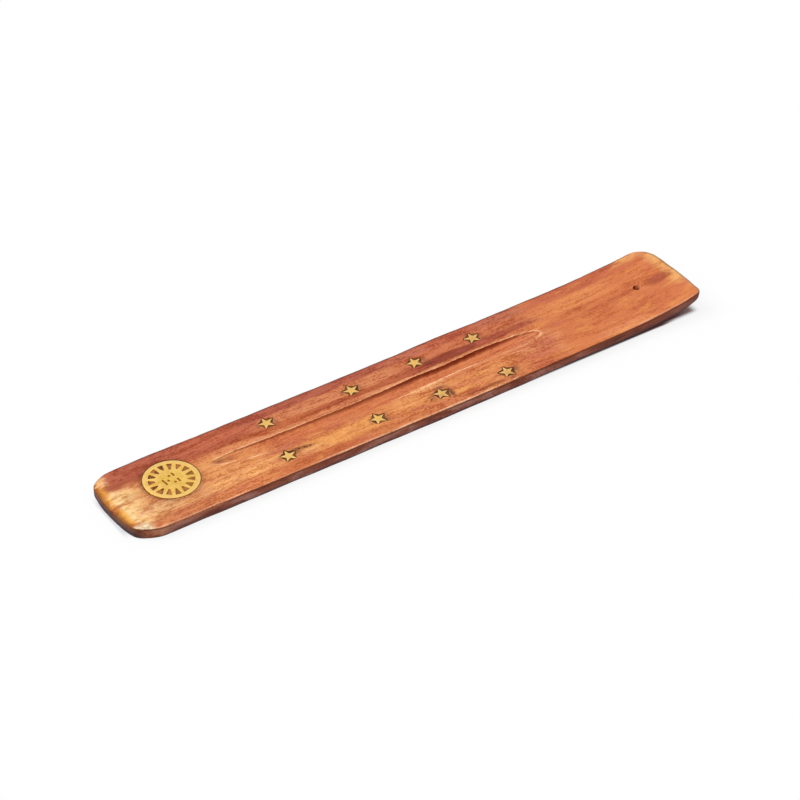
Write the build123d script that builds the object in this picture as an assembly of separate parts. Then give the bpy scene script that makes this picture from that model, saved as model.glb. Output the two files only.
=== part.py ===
"""Incense stick holder: a thin hardwood tray, bent upwards at one end, that catches the ash.

A scooped groove with one steep wall runs along its middle, and a leaning hole near the raised end
holds the stick. A pierced brass sun and two rows of brass stars lie flush in pockets of dark filler.

Frame, in millimetres: +Z up, +X along the tray towards the stick hole, +Y to the left seen
from the sun end, origin on the table under the middle of the tray.
"""

import os
from math import asin, cos, degrees, radians, sin, tan

from build123d import *

# Tray blank, seen from above
tray_length = 254.6
tray_width = 37.5
tray_thickness = 4.7
sun_left_corner = 9.5
sun_right_corner = 12.0
stick_left_corner = 8.5
stick_right_corner = 3.0

# The ends are sawn a little out of square: how far two of the corners are set back
sun_right_setback = 2.0
stick_left_setback = 0.7

# Side view from the raised end back: the curl, a straight ramp, a slight bend, then the flat
curl_run = 40.5
curl_radius = 245.0
ramp_run = 59.0
bend_run = 25.0
bend_radius = 1600.0

# Edges softened by sanding and wear
worn_end_run = 4.0
worn_end_radius = 9.0
upper_edge_round = 0.5
lower_edge_round = 1.2

# Ash groove: a round-nosed cutter guided by hand, at stations measured from the sun end
groove_nose_radius = 5.0
groove_stations = [
    # station, sideways drift from the middle, depth below the upper face
    (37.1, 2.5, -0.6),
    (51.1, 0.9, 0.7),
    (67.1, -0.4, 1.4),
    (102.1, -0.8, 1.5),
    (135.1, 0.1, 1.6),
    (163.1, 0.4, 1.6),
    (179.1, -0.4, 1.0),
    (195.1, -0.1, -0.6),
]

# Second pass with a thinner cutter, which leaves the groove a steep left wall
wall_nose_radius = 1.5
wall_stations = [
    (49.0, 2.0, -0.4),
    (59.0, 1.9, 0.6),
    (81.0, 1.5, 0.9),
    (106.0, 1.4, 1.1),
    (127.0, 2.0, 1.3),
    (144.0, 2.0, 1.4),
    (161.0, 2.7, 1.4),
    (173.0, 2.0, 1.2),
    (184.0, 0.7, 0.7),
    (191.0, -0.2, -0.4),
]

# Stick hole, drilled with a pointed bit at a distance from the raised end
stick_hole_radius = 1.5
stick_hole_depth = 3.0
stick_hole_inset = 18.6
stick_hole_drift = 0.15
stick_lean = 12.0
drill_point_angle = 118.0

# Brass sheet and the filler that beds it
brass_thickness = 0.9
filler_bed = 0.2
filler_sink = 0.25

# Sun disc, at a station from the sun end
sun_station = 26.9
sun_drift = 2.55
sun_radius = 10.6
sun_gap = 0.4
sun_turn = 6.0
ray_count = 15
window_outer = 8.7
window_inner = 5.7
window_root_width = 0.6
ray_tip_width = 1.25

# Sun face, measured from the disc's centre: up is along the turned +X, side is across
slit_width = 0.6
mouth_length = 3.4
mouth_up = -2.85
nose_length = 1.2
nose_up = -1.2
eye_radius = 0.42
eye_up = 0.4
eye_side = 2.1
brow_length = 2.2
brow_up = 2.05
brow_side = 1.9

# Stars, in pockets that are blunter than they are
star_points = 5
star_tip_radius = 3.45
star_notch_radius = 1.45
star_tip_gap = 0.25
star_notch_gap = 1.0
left_stars = [
    # station from the sun end, inset from the long edge, turn away from pointing straight across
    (72.4, 7.7, 3.0),
    (109.2, 8.7, 2.0),
    (138.4, 7.7, 1.0),
    (165.3, 7.5, -3.0),
]
right_stars = [
    (69.3, 9.1, -3.0),
    (108.4, 9.1, 3.0),
    (136.4, 8.5, -8.0),
    (164.4, 5.4, -2.0),
]

# Spare length of a cutting tool past the wood that it cuts
tool_overrun = 3.0

# A face is a wall where its normal rises by less than this, and a skin where it rises by more
wall_or_skin = 0.5

pocket_depth = brass_thickness + filler_bed
half_length = tray_length / 2
half_width = tray_width / 2


def bent_line(height):
    """The strip's side line at a height above its underside, from the flat to past the curl."""
    bend_angle = degrees(asin(bend_run / bend_radius))
    curl_angle = degrees(asin((curl_run + tool_overrun) / curl_radius))
    flat_start = worn_end_run - half_length
    flat_end = half_length - curl_run - ramp_run - bend_run
    flat = Line((flat_start, height), (flat_end, height))
    bend = JernArc(flat @ 1, flat % 1, bend_radius - height, bend_angle)
    ramp = Line(bend @ 1, bend @ 1 + (bend % 1) * ramp_run)
    curl = JernArc(ramp @ 1, ramp % 1, curl_radius - height, curl_angle)
    return Curve() + [flat, bend, ramp, curl]


def side_profile():
    """Side view of the strip, with the upper face rolling off towards the worn sun end."""
    lower = bent_line(0)
    upper = bent_line(tray_thickness)
    roll_angle = degrees(asin(worn_end_run / worn_end_radius))
    roll = JernArc(upper @ 0, (upper % 0) * -1, worn_end_radius, roll_angle)
    spare = Line(roll @ 1, roll @ 1 + (roll % 1) * tool_overrun)
    end_foot = Vector((spare @ 1).X, 0)
    outline = [
        lower,
        upper,
        roll,
        spare,
        Line(spare @ 1, end_foot),
        Line(end_foot, lower @ 0),
        Line(lower @ 1, upper @ 1),
    ]
    return make_face(Curve() + outline)


def plan_outline():
    """The tray seen from above: four hand-rounded corners, and its box centred on the origin."""
    corners = [
        (-half_length, half_width, sun_left_corner),
        (sun_right_setback - half_length, -half_width, sun_right_corner),
        (half_length, -half_width, stick_right_corner),
        (half_length - stick_left_setback, half_width, stick_left_corner),
    ]
    outline = make_face(Polyline(*[(x, y) for x, y, radius in corners], close=True))
    for x, y, radius in corners:
        corner = outline.vertices().sort_by_distance((x, y, 0))[0]
        outline = fillet(corner, radius)
    middle = outline.bounding_box().center()
    return Pos(-middle.X, -middle.Y) * outline


def tray_blank():
    """The bent strip, sawn to its outline, with its upper and lower edges rounded."""
    strip = extrude(Plane.XZ * side_profile(), amount=half_width + tool_overrun, both=True)
    taller_than_the_curl = half_length
    blank = strip & extrude(plan_outline(), amount=taller_than_the_curl)
    for side, radius in ((1, upper_edge_round), (-1, lower_edge_round)):
        walls = blank.faces().filter_by(lambda face: abs(face.normal_at().Z) < wall_or_skin)
        skin = blank.faces().filter_by(lambda face: side * face.normal_at().Z > wall_or_skin)
        wall_edges = walls.edges()
        rim = [edge for edge in skin.edges() if edge in wall_edges]
        blank = fillet(rim, radius)
    return blank


def seat(blank, station, drift):
    """Frame on the upper face at a station from the sun end, with its Z square to the wood."""
    sight = Axis((station - half_length, drift, 0), (0, 0, 1))
    point, normal = blank.find_intersection_points(sight)[-1]
    return Plane(origin=point, x_dir=(normal.Z, 0, -normal.X), z_dir=normal)


def groove_pass(blank, nose_radius, stations):
    """A round bar through the stations: it dips below the upper face by each one's depth."""
    sections = []
    for station, drift, depth in stations:
        centre = seat(blank, station, drift).origin + (0, 0, nose_radius - depth)
        across = Plane(origin=centre, x_dir=(0, 1, 0), z_dir=(1, 0, 0))
        sections.append(across * Circle(nose_radius))
    return loft(sections)


def stick_hole_frame(blank):
    """Frame at the middle of the hole's mouth, with its Z along the stick that leans over the groove."""
    mouth = seat(blank, tray_length - stick_hole_inset, stick_hole_drift).origin
    lean = radians(stick_lean)
    return Plane(origin=mouth, x_dir=(cos(lean), 0, sin(lean)), z_dir=(-sin(lean), 0, cos(lean)))


def stick_hole_tool(blank):
    """The drill: a round shank down to the hole's depth, then the point of the bit."""
    point_length = stick_hole_radius / tan(radians(drill_point_angle / 2))
    half_section = Polyline(
        (0, tool_overrun),
        (stick_hole_radius, tool_overrun),
        (stick_hole_radius, -stick_hole_depth),
        (0, -stick_hole_depth - point_length),
        close=True,
    )
    drill = revolve(Plane.XZ * make_face(half_section), Axis.Z)
    return stick_hole_frame(blank) * drill


def sun_window():
    """One window between two rays: narrow at the face plate, wide under the rim."""
    half_angle = radians(180 / ray_count) - ray_tip_width / (2 * window_outer)
    rim_x = window_outer * cos(half_angle)
    rim_y = window_outer * sin(half_angle)
    root_y = window_root_width / 2
    outline = [
        Line((window_inner, -root_y), (rim_x, -rim_y)),
        ThreePointArc((rim_x, -rim_y), (window_outer, 0), (rim_x, rim_y)),
        Line((rim_x, rim_y), (window_inner, root_y)),
        Line((window_inner, root_y), (window_inner, -root_y)),
    ]
    return make_face(Curve() + outline)


def sun_face():
    """Mouth, nose, eyes and brows, pierced as short slits and dots across the face plate."""
    across = Rot(0, 0, 90)
    cuts = [
        Pos(mouth_up, 0) * across * SlotOverall(mouth_length, slit_width),
        Pos(nose_up, 0) * across * SlotOverall(nose_length, slit_width),
    ]
    for side in (-1, 1):
        cuts.append(Pos(eye_up, side * eye_side) * Circle(eye_radius))
        cuts.append(Pos(brow_up, side * brow_side) * across * SlotOverall(brow_length, slit_width))
    return cuts


def sun_sketch():
    """The pierced disc, with one ray along the face's up direction."""
    windows = PolarLocations(0, ray_count, start_angle=180 / ray_count) * sun_window()
    return Rot(0, 0, sun_turn) * (Circle(sun_radius) - windows - sun_face())


def star_sketch(tip_radius, notch_radius):
    """A star with one point along +Y."""
    corners = []
    for step in range(2 * star_points):
        radius = tip_radius if step % 2 == 0 else notch_radius
        angle = radians(90 + step * 180 / star_points)
        corners.append((radius * cos(angle), radius * sin(angle)))
    return make_face(Polyline(*corners, close=True))


def inlay(place, ornament, pocket):
    """Brass, filler and pocket cutter of one inlay, seated at its frame on the upper face.

    The brass is flush with the wood. The filler fills the pocket under and round it, and stops
    a little below the surface.
    """
    brass = extrude(ornament, amount=-brass_thickness)
    fill_height = pocket_depth - filler_sink
    filler = extrude(Pos(0, 0, -pocket_depth) * pocket, amount=fill_height) - brass
    cutter = extrude(Pos(0, 0, -pocket_depth) * pocket, amount=pocket_depth + tool_overrun)
    return place * brass, place * filler, place * cutter


def build():
    """Every piece of the holder, as node name to solid."""
    blank = tray_blank()
    tray = blank - groove_pass(blank, groove_nose_radius, groove_stations)
    tray -= groove_pass(blank, wall_nose_radius, wall_stations)
    tray -= stick_hole_tool(blank)
    pieces = {}

    sun_frame = seat(blank, sun_station, sun_drift)
    disc, filler, cutter = inlay(sun_frame, sun_sketch(), Circle(sun_radius + sun_gap))
    pieces["sun_disc"] = disc
    pieces["sun_filler"] = filler
    tray -= cutter

    star = star_sketch(star_tip_radius, star_notch_radius)
    star_pocket = star_sketch(star_tip_radius + star_tip_gap, star_notch_radius + star_notch_gap)
    for row, side, stars in (("left", 1, left_stars), ("right", -1, right_stars)):
        for number, (station, inset, turn) in enumerate(stars, start=1):
            frame = seat(blank, station, side * (half_width - inset)) * Rot(0, 0, turn)
            brass, filler, cutter = inlay(frame, star, star_pocket)
            pieces[f"{row}_star_{number}"] = brass
            pieces[f"{row}_star_filler_{number}"] = filler
            tray -= cutter

    pieces["wooden_tray"] = tray
    return pieces


os.makedirs("parts", exist_ok=True)
for node, shape in build().items():
    export_step(shape, f"parts/{node}.step")
    print(node, round(shape.volume, 2))
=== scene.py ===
# %% [markdown]
# # An incense stick holder
# The real object is a thin strip of stained hardwood, bent upwards at one end. A stick leans in the
# small hole there and its ash falls along the scooped groove. A pierced brass sun and two rows of brass
# stars are let into the wood. The CAD solids give every size and place, so this lesson loads them first
# and then builds the same pieces again with the marks that hands and tools leave.

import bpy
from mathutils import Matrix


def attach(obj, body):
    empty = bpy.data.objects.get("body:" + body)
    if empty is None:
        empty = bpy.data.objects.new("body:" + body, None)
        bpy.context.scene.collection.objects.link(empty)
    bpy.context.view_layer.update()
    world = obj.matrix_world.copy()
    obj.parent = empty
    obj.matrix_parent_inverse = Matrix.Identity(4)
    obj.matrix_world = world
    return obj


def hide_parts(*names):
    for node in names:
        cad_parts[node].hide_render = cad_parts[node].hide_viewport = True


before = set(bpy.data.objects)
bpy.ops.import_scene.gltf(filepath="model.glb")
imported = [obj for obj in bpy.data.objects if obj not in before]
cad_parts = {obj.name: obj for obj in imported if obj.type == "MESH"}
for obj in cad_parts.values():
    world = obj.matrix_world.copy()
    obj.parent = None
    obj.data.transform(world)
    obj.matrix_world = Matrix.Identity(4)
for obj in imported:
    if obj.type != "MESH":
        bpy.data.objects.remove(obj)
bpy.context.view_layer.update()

from math import asin, cos, pi, radians, sin, tan

import bmesh
import bpy
import numpy as np
from mathutils import Matrix, Vector

MM = 0.001
scene = bpy.context.scene

# %% [markdown]
# ## The camera
# The view is from the right of the sun end, down at the tray and through a long lens, which keeps
# parallel edges nearly parallel. We place the camera by an azimuth, an elevation and a distance from
# a point near the tray's middle, which is easier to adjust than three rotation angles.

# %% Camera
azimuth = radians(-33.52)
elevation = radians(38.67)
aim = Vector((-3.08, -0.46, 0.4)) * MM
distance = 1.0748
focal_pixels = 2849.9
frame_pixels = 800


def add_object(name, data):
    """A new object for a mesh, a camera, a lamp or a curve, linked to the scene."""
    made = bpy.data.objects.new(name, data)
    scene.collection.objects.link(made)
    return made


back = Vector((sin(azimuth) * cos(elevation), -cos(azimuth) * cos(elevation), sin(elevation)))
right = Vector((cos(azimuth), sin(azimuth), 0))
up = back.cross(right)

camera = add_object("camera", bpy.data.cameras.new("camera"))
camera.data.sensor_width = 36
camera.data.lens = camera.data.sensor_width * focal_pixels / frame_pixels
camera.data.clip_start = 0.05
camera.matrix_world = Matrix((right, up, back)).transposed().to_4x4()
camera.matrix_world.translation = aim + back * distance
scene.camera = camera
scene.view_settings.view_transform = "Standard"
print("Lens in millimetres:", round(camera.data.lens, 1))

# %% [markdown]
# ## Shader sums
# A material is a graph of nodes. Sums read better as Python, so one small class wraps a node's output:
# adding two wires adds a Math node. Every other node comes from its `node` method, which takes the kind,
# the settings and the values or wires for its sockets. The methods below it name what these finishes use
# again and again: soft steps, coats of colour, noise, places in millimetres and marks stored on points.

# %% Wire
class Wire:
    """One output of a node tree. Sums on wires add Math nodes to the tree."""

    def __init__(self, tree, socket=None):
        self.tree = tree
        self.socket = socket

    def node(self, kind, settings=None, inputs=None, output=0):
        """Add a node, set its settings, then fill its sockets, and give back one output."""
        made = self.tree.nodes.new("ShaderNode" + kind)
        for name, value in (settings or {}).items():
            setattr(made, name, value)
        fill(made, inputs or {})
        return Wire(self.tree, made.outputs[output])

    def math(self, operation, *values):
        """A Math node on values and wires."""
        return self.node("Math", {"operation": operation}, dict(enumerate(values)))

    def vector(self, operation, other):
        """A Vector Math node on this vector or colour and another one."""
        return self.node("VectorMath", {"operation": operation}, {0: self, 1: other})

    def __add__(self, other):
        return self.math("ADD", self, other)

    def __sub__(self, other):
        return self.math("SUBTRACT", self, other)

    def __rsub__(self, other):
        return self.math("SUBTRACT", other, self)

    def __mul__(self, other):
        return self.math("MULTIPLY", self, other)

    def __pow__(self, other):
        return self.math("POWER", self, other)

    __radd__ = __add__
    __rmul__ = __mul__

    def limited(self):
        """The wire held between 0 and 1."""
        return self.node("Clamp", inputs={0: self})

    def step(self, low, high):
        """0 below low, 1 above high and a smooth S between them."""
        ends = {"Value": self, "From Min": low, "From Max": high}
        return self.node("MapRange", {"interpolation_type": "SMOOTHSTEP"}, ends)

    def band(self, low, high, soft):
        """1 between low and high, with an edge of that softness on either side."""
        return self.step(low - soft, low + soft) * (1 - self.step(high - soft, high + soft))

    def plain(self, colour):
        """The same colour everywhere."""
        made = self.node("RGB")
        made.socket.default_value = colour
        return made

    def mix(self, colour, amount):
        """This colour, turned into another one by an amount from 0 to 1."""
        ends = {0: amount, 6: self, 7: colour}
        return self.node("Mix", {"data_type": "RGBA"}, ends, output=2)

    def coats(self, *layers):
        """This colour under layers of (screen colour, amount), each mixed over the one before."""
        colour = self
        for tint, amount in layers:
            colour = colour.mix(paint(*tint), amount)
        return colour

    def speckle(self, long, across, detail=2.0, roughness=0.5, shift=0.0):
        """Noise in this place vector, with cells that many millimetres long and across."""
        cells = (1 / (long * MM), 1 / (across * MM), 1 / (across * MM))
        moved = self.vector("MULTIPLY", cells).vector("ADD", (shift, shift, shift))
        settings = {"Vector": moved, "Scale": 1.0, "Detail": detail, "Roughness": roughness}
        return self.node("TexNoise", None, settings)

    def axis(self, letter):
        """One coordinate of this place vector, in millimetres."""
        return self.node("SeparateXYZ", inputs={0: self}, output=letter) * (1 / MM)

    def mark(self, name):
        """One of the numbers stored on a mesh's points."""
        return self.node("Attribute", {"attribute_name": name}, output="Fac")

    def looked_at(self):
        """1 for rays that show the surface itself, straight or mirrored, and 0 for light on its way."""
        kinds = ("Camera", "Glossy", "Transmission")
        seen, mirrored, passed = (self.node("LightPath", output=f"Is {kind} Ray") for kind in kinds)
        return (seen + mirrored + passed).limited()

    def bump(self, strength, depth):
        """A normal bent by this height, of which 1 stands for that many millimetres."""
        return self.node("Bump", None, {"Strength": strength, "Distance": depth * MM, "Height": self})


def fill(node, values):
    """Link wires to a node's sockets and set plain values on them."""
    for key, value in values.items():
        if isinstance(value, Wire):
            value.tree.links.new(value.socket, node.inputs[key])
        else:
            node.inputs[key].default_value = value


def paint(red, green, blue):
    """A colour written as eight-bit screen values, turned into the linear values of a shader."""
    screen = np.array((red, green, blue)) / 255
    linear = np.where(screen > 0.04045, ((screen + 0.055) / 1.055) ** 2.4, screen / 12.92)
    return (*linear.tolist(), 1.0)


def new_material(name):
    """A material, its Principled shader and a wire that holds the place on the object."""
    material = bpy.data.materials.new(name)
    material.use_nodes = True
    place = Wire(material.node_tree).node("TexCoord", output="Object")
    return material, material.node_tree.nodes["Principled BSDF"], place


print("Brass yellow in linear values:", [round(v, 3) for v in paint(235, 200, 100)])

# %% [markdown]
# ## Studio light
# The holder lies on white paper under a large soft light from behind. The floor's white comes from its
# colour: the sky light and the lamp together give a level surface just about the light that a colour
# needs to look as written. The camera sees paper that is mostly plain white, as on an overexposed sheet,
# and the rest of it keeps the shadow, most of all where the tray covers it. Under the raised end a red
# painted shadow lies on the paper and fades on the far side, and a faint blue painted shadow lies at the
# sun end.

# %% Paper floor
paper_white = 0.86
half_floor = 4.0

floor_mesh = bpy.data.meshes.new("paper_floor")
square = np.array(((-1, -1, 0), (1, -1, 0), (1, 1, 0), (-1, 1, 0))) * half_floor
floor_mesh.from_pydata(square.tolist(), [], [(0, 1, 2, 3)])
floor = add_object("paper_floor", floor_mesh)

paper, shader, place = new_material("white_paper")
floor_x, floor_y = place.axis("X"), place.axis("Y")
under_tray = floor_x.band(-108, 112, 4.0) * floor_y.band(-17.9, 18, 0.5)
beside_end = floor_x.band(106, 125.2, 2.2) * floor_y.band(-17.4, 10, 1.3)
beside_sun = floor_x.band(-127.9, -110, 0.5) * floor_y.band(-11, 12, 3.0) * 0.6
far_side = floor_y.step(3, 17) * floor_x.step(55, 85)
gap = (1 - (1 - under_tray) * (1 - beside_end)) * (1 - far_side)
covered = 1 - (1 - gap) * (1 - beside_sun)
# Painted shadow: the paper under the raised end is painted dark red, fading on the far side.
painted_red_shadow = gap * floor_x.step(50, 64) * (1 - 0.35 * floor_x.step(115, 121))

sheet = place.plain((0.98, 0.98, 0.99, 1))
sheet = sheet.mix((0.90, 0.90, 0.92, 1), place.speckle(3, 3, 4) * 0.1)
# Painted shadow: a faint blue tint beside the sun end, and the dark red one under the raised end.
sheet = sheet.mix((0.72, 0.70, 0.82, 1), beside_sun)
sheet = sheet.mix((0.50, 0.19, 0.20, 1), painted_red_shadow)
fill(shader, {"Base Color": sheet, "Roughness": 1.0, "Specular IOR Level": 0.0})
shaded = Wire(paper.node_tree, shader.outputs[0])
lit = place.node("Emission", None, {"Color": (1, 1, 1, 1), "Strength": 1.0})
white_share = place.looked_at() * (1 - covered) * paper_white
both = place.node("MixShader", None, {0: white_share, 1: shaded, 2: lit})
fill(paper.node_tree.nodes["Material Output"], {"Surface": both})
floor_mesh.materials.append(paper)
print("Paper nodes:", len(paper.node_tree.nodes))

# %% [markdown]
# The sky is brighter overhead than at the horizon, like a large soft box, which leaves the sides darker
# than the face. Its level comes from the light it should give a level surface, summed over the dome.
# Reflections see a sky of strength 1 instead, so brass looks pale.

# %% Sky and lamp
sky_share, lamp_share = 0.60, 0.42
dim_horizon, bright_above = 0.15, 0.8
lamp_direction = Vector((-0.55, 0.36, 0.75)).normalized()
lamp_softness = radians(40)


def smooth(value, low, high):
    """0 below low, 1 above high and a smooth S between them, as numbers."""
    t = np.clip((value - low) / (high - low), 0, 1)
    return t * t * (3 - 2 * t)


scene.world = bpy.data.worlds.new("soft_sky")
scene.world.use_nodes = True
sky = Wire(scene.world.node_tree)
heading = sky.node("TexCoord", output="Generated")
overhead = sky.node("SeparateXYZ", inputs={0: heading}, output="Z").step(0.0, bright_above)
rise = np.linspace(0, 1, 401)
spread_of_sky = dim_horizon + (1 - dim_horizon) * smooth(rise, 0, bright_above)
sky_level = sky_share / (2 * np.mean(spread_of_sky * rise))
soft = (overhead * (1 - dim_horizon) + dim_horizon) * sky_level
direct = sky.looked_at()
background = scene.world.node_tree.nodes["Background"]
fill(background, {"Color": (1, 1, 1, 1), "Strength": direct + (1 - direct) * soft})

lamp = add_object("soft_lamp", bpy.data.lights.new("soft_lamp", "SUN"))
lamp.data.energy = pi * lamp_share / lamp_direction.z
lamp.data.angle = lamp_softness
lamp.rotation_euler = lamp_direction.to_track_quat("Z", "Y").to_euler()
print("Lamp strength:", round(lamp.data.energy, 2))

# %% [markdown]
# ## Sizes
# These are the sizes of the CAD model, in millimetres. The tray's box is centred over the origin, the sun
# end lies towards -X, and stations along the tray are counted from that end.

# %% Sizes from the CAD model
tray_length, tray_width, tray_thickness = 254.6, 37.5, 4.7
half_length, half_width = tray_length / 2, tray_width / 2
sun_right_setback, stick_left_setback = 2.0, 0.7
corner_rounds = {"sun_right": 12.0, "stick_right": 3.0, "stick_left": 8.5, "sun_left": 9.5}
curl_run, curl_radius, ramp_run, bend_run, bend_radius = 40.5, 245.0, 59.0, 25.0, 1600.0
worn_end_run, worn_end_radius = 4.0, 9.0
upper_edge_round, lower_edge_round = 0.5, 1.2

brass_thickness, filler_bed = 0.9, 0.2
pocket_depth = brass_thickness + filler_bed

sun_x, sun_y, sun_radius, sun_gap, sun_turn = 26.9 - half_length, 2.55, 10.6, 0.4, radians(6)
ray_count, window_outer, window_inner = 15, 8.7, 5.7
window_root_width, ray_tip_width = 0.6, 1.25

star_tip, star_notch, star_tip_gap, star_notch_gap = 3.45, 1.3, 0.3, 1.15
left_stars = [(72.4, 7.7, 3.0), (109.2, 8.7, 2.0), (138.4, 7.7, 1.0), (165.3, 7.5, -3.0)]
right_stars = [(69.3, 9.1, -3.0), (108.4, 9.1, 3.0), (136.4, 8.5, -8.0), (164.4, 5.4, -2.0)]

hole_x, hole_y, hole_radius, hole_depth, hole_lean = half_length - 18.6, 0.15, 1.5, 3.0, radians(12)
drill_point = hole_radius / tan(radians(59))
print("Sun at", round(sun_x, 1), "hole at", round(hole_x, 1))

# %% [markdown]
# ## The bent strip seen from the side
# A steamed strip keeps its thickness when it is bent, so its two faces are parallel lines: flat, a slight
# bend, a straight ramp and a curl. Where the sun end is worn, the upper face also rolls off. One function
# samples the line at a height and the heights are then read from it by interpolation.

# %% Heights of the two faces
def side_line(height):
    """The strip's side line at a height above its underside, as two arrays, x and z.

    An arc of radius r that starts at heading h and turns by t runs through
    r (sin(h + t) - sin h) along and r (cos h - cos(h + t)) up.
    """
    bend_angle = asin(bend_run / bend_radius)
    bend = np.linspace(0, bend_angle, 30)
    curl = np.linspace(0, asin((curl_run + 5) / curl_radius), 150)
    x_bend = half_length - curl_run - ramp_run - bend_run + (bend_radius - height) * np.sin(bend)
    z_bend = height + (bend_radius - height) * (1 - np.cos(bend))
    radius = curl_radius - height
    x_curl = x_bend[-1] + ramp_run * cos(bend_angle) + radius * (np.sin(bend_angle + curl) - sin(bend_angle))
    z_curl = z_bend[-1] + ramp_run * sin(bend_angle) + radius * (cos(bend_angle) - np.cos(bend_angle + curl))
    x = np.concatenate(([-2 * half_length], x_bend, x_curl))
    z = np.concatenate(([height], z_bend, z_curl))
    return x, z


lower_line, upper_line = side_line(0.0), side_line(tray_thickness)


def underside(x):
    """Height of the lower face."""
    return np.interp(x, *lower_line)


def upper_face(x):
    """Height of the upper face: the strip's line, less the drop of a circle at the worn end."""
    past = np.clip(worn_end_run - half_length - x, 0, 0.98 * worn_end_radius)
    return np.interp(x, *upper_line) - (worn_end_radius - np.sqrt(worn_end_radius**2 - past**2))


stations = np.array((sun_x, hole_x, half_length))
print("Height at the sun, the hole and the raised end:", upper_face(stations).round(2))

# %% [markdown]
# ## The outline seen from above
# The ends were sawn a little out of square and each corner was rounded by hand on a sanding belt. An arc at
# each corner is enough: the straight edges are the chords between arcs. The outline also wanders by a
# fraction of a millimetre, as every hand-sanded edge does.

# %% Rounded outline
def ripple(x, y, lengths, height, seed):
    """Gentle unevenness: sine waves added up, one for each (along, across) pair of wavelengths."""
    random = np.random.default_rng(seed)
    total = np.zeros(np.broadcast(x, y).shape)
    for along, across in lengths:
        phase, tilt = random.uniform(0, 2 * pi, 2)
        total += np.sin(2 * pi * x / along + phase + np.sin(2 * pi * y / across + tilt) * 1.5)
    return total * height / len(lengths)


def soft_spot(x, y, at_x, at_y, long, wide):
    """A bell-shaped spot, 1 in its middle."""
    return np.exp(-(((x - at_x) / long) ** 2 + ((y - at_y) / wide) ** 2))


def rounded_outline():
    """Outline and outward normals, counter-clockwise: at each corner, centre + radius (cos, sin).

    The centre lies on the corner's bisector, at the distance where the circle touches both edges.
    """
    corners = np.array([
        (sun_right_setback - half_length, -half_width),
        (half_length, -half_width),
        (half_length - stick_left_setback, half_width),
        (-half_length, half_width),
    ])
    points, normals = [], []
    for index, radius in enumerate(corner_rounds.values()):
        into = corners[index] - corners[index - 1]
        out = corners[(index + 1) % 4] - corners[index]
        first = np.arctan2(-into[0], into[1])
        last = np.arctan2(-out[0], out[1])
        turn = (last - first) % (2 * pi)
        angle = first + np.linspace(0, turn, 201)
        middle = first + turn / 2
        centre = corners[index] - radius / cos(turn / 2) * np.array((cos(middle), sin(middle)))
        normal = np.stack((np.cos(angle), np.sin(angle)), 1)
        points.append(centre + radius * normal)
        normals.append(normal)
    points = np.concatenate(points)
    centre = (points.min(0) + points.max(0)) / 2
    return points - centre, np.concatenate(normals)


outline, outline_normals = rounded_outline()
print("Outline box:", (outline.max(0) - outline.min(0)).round(2))

# %% [markdown]
# ## The groove
# The ash groove was scooped by hand with a round cutter that leaned to one side: its left wall is steep and
# crisp while the floor climbs gently on the right. It wanders, and both ends run out in a rounded tongue.
# Smooth lines through a few given knots give the two edges, the depth and the steepness of the wall.

# %% Lines of the groove
def hand_line(knots, x):
    """A smooth line through given (x, value) knots, held level past both ends.

    Between two knots it is the cubic whose slope at each knot is that of its neighbours' chord.
    """
    at, value = np.array(knots, float).T
    slope = np.gradient(value, at)
    x = np.clip(x, at[0], at[-1])
    i = np.clip(np.searchsorted(at, x) - 1, 0, len(at) - 2)
    run = at[i + 1] - at[i]
    t = (x - at[i]) / run
    start = value[i] * (2 * t**3 - 3 * t**2 + 1) + slope[i] * run * (t**3 - 2 * t**2 + t)
    return start + value[i + 1] * (3 * t**2 - 2 * t**3) + slope[i + 1] * run * (t**3 - t**2)


wall_edge = [
    (-84, 2.4), (-79, 3.5), (-72, 3.8), (-57, 3.4), (-46, 3.1), (-32, 2.95), (-21, 2.9), (-13, 3.1),
    (0, 3.5), (9, 3.95), (17, 3.5), (26, 3.75), (34, 4.0), (41, 4.0), (47, 3.55), (53, 3.15),
    (57, 2.6), (60, 1.9), (61.8, 0.9), (62.8, -0.4),
]
gentle_edge = [
    (-84, 2.0), (-80, -0.1), (-73, -2.0), (-67, -3.2), (-58, -4.3), (-46, -4.4), (-30, -4.4), (-12, -4.0),
    (0, -3.5), (10, -3.2), (17, -2.8), (34, -2.8), (43, -3.1), (51, -3.5), (57, -3.4), (60, -2.7),
    (61.8, -1.8), (62.8, -0.7),
]
groove_depth = [
    (-84, 0), (-80, 0.25), (-74, 0.5), (-66, 0.65), (-50, 0.8), (-30, 0.9), (-10, 1.15), (5, 1.35),
    (20, 1.45), (38, 1.45), (46, 1.25), (53, 0.85), (58, 0.5), (61, 0.3), (62.8, 0),
]
wall_run = [(-84, 1.4), (-66, 1.9), (-40, 2.0), (-10, 2.2), (10, 2.4), (46, 2.4), (55, 1.6), (62, 1.0)]


def arris(x):
    """The crisp upper edge of the groove's wall, with the small jumps of a hand-held cutter."""
    return hand_line(wall_edge, x) + ripple(x, 0 * x, [(9.7, 9), (4.3, 9), (2.6, 9)], 0.14, 21)


def groove(x, y):
    """Depth of the groove at a place and its share of the full depth there.

    From the gentle edge the depth grows as 1 - (1 - t)^1.8 until the wall's foot. From the crisp edge
    it falls as 1 - (1 - s)^5, steep at first and then round, over the run of the wall.
    """
    edge, near = arris(x), hand_line(gentle_edge, x)
    foot = np.maximum(edge - hand_line(wall_run, x), near + 0.35 * (edge - near))
    t = np.clip((y - near) / np.maximum(foot - near, 0.05), 0, 1)
    s = np.clip((edge - y) / np.maximum(edge - foot, 0.05), 0, 1)
    share = np.where(y < foot, 1 - (1 - t) ** 1.8, 1 - (1 - s) ** 5)
    chatter = 1 + 0.035 * np.sin(2 * pi * x / 4.1 + 1.4 * np.sin(x / 7.0))
    chatter = chatter + 0.02 * np.sin(2 * pi * y / 1.7 + x / 6)
    return hand_line(groove_depth, x) * share * chatter, share


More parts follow.
